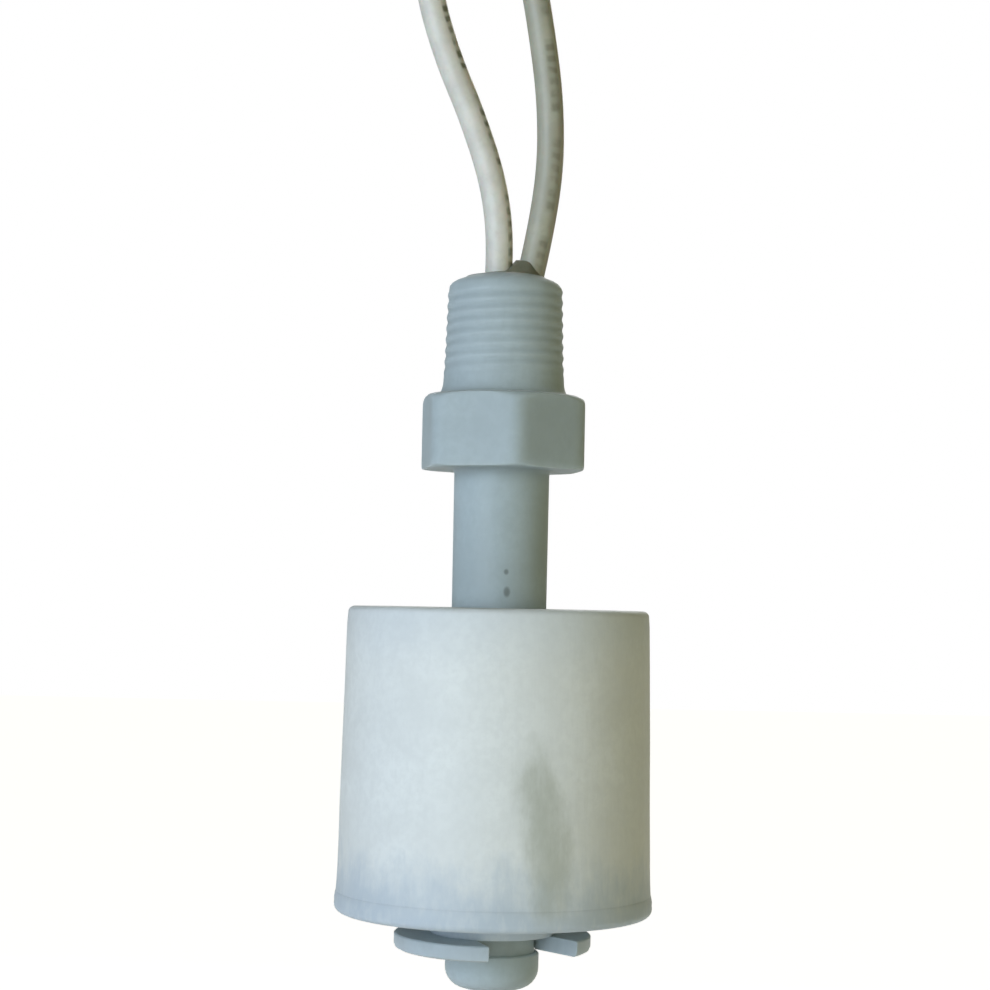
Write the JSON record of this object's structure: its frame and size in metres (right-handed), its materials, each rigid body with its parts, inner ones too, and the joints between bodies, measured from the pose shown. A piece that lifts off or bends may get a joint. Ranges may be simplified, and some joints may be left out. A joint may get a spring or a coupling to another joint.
{
  "type": "float level switch",
  "caption": "Vertical float level switch: threaded nipple, hexagon and closed stem with a sliding drafted float, a snap clip below it and wire leads above.",
  "frame": {"origin": "on the thread's axis where the nipple meets the hexagon's upper face", "axes": "+Z along the stem towards the leads, so the float hangs below the hexagon; -Y is the front"},
  "size_m": [0.046, 0.0264, 0.1303],
  "materials": {
    "stem_polypropylene": "moulded, satin, slightly translucent",
    "clip_polypropylene": "moulded, satin",
    "float_polypropylene": "moulded, satin, slightly translucent",
    "cap_polypropylene": "moulded, satin",
    "ferrite": "sintered, matt",
    "reed_glass": "clear, faintly green",
    "reed_alloy": "plated, bright",
    "sleeve_pvc": "soft, matt",
    "tinned_copper": "bright, stranded",
    "solder": "bright",
    "shrink_sleeve": "shrunk, satin",
    "potting_epoxy": "cast, glossy",
    "lead_insulation": "extruded, satin, with small printed dashes",
    "tie_nylon": "moulded, natural"
  },
  "bodies": {
    "stem": {"stem_body": "stem_polypropylene", "retaining_clip": "clip_polypropylene", "reed_glass": "reed_glass", "reed_blade_upper": "reed_alloy", "reed_blade_lower": "reed_alloy", "return_sleeve": "sleeve_pvc", "left_conductor": "tinned_copper", "right_conductor": "tinned_copper", "left_solder": "solder", "right_solder": "solder", "left_splice_sleeve": "shrink_sleeve", "right_splice_sleeve": "shrink_sleeve", "potting": "potting_epoxy", "left_lead": "lead_insulation", "right_lead": "lead_insulation", "lead_coil": "lead_insulation", "coil_tie": "tie_nylon", "left_tip": "tinned_copper", "right_tip": "tinned_copper"},
    "magnet": {"float_magnet": "ferrite"},
    "float": {"float_shell": "float_polypropylene", "float_cap": "cap_polypropylene"}
  },
  "joints": [
    {"name": "float_slide", "type": "slide", "parent": "stem", "child": "magnet", "axis": [0, 0, 1], "range_m": [0, 0.0115]},
    {"name": "float_spin", "type": "hinge", "parent": "magnet", "child": "float", "pos_m": [0, 0, -0.0335], "axis": [0, 0, 1], "continuous": true}
  ]
}
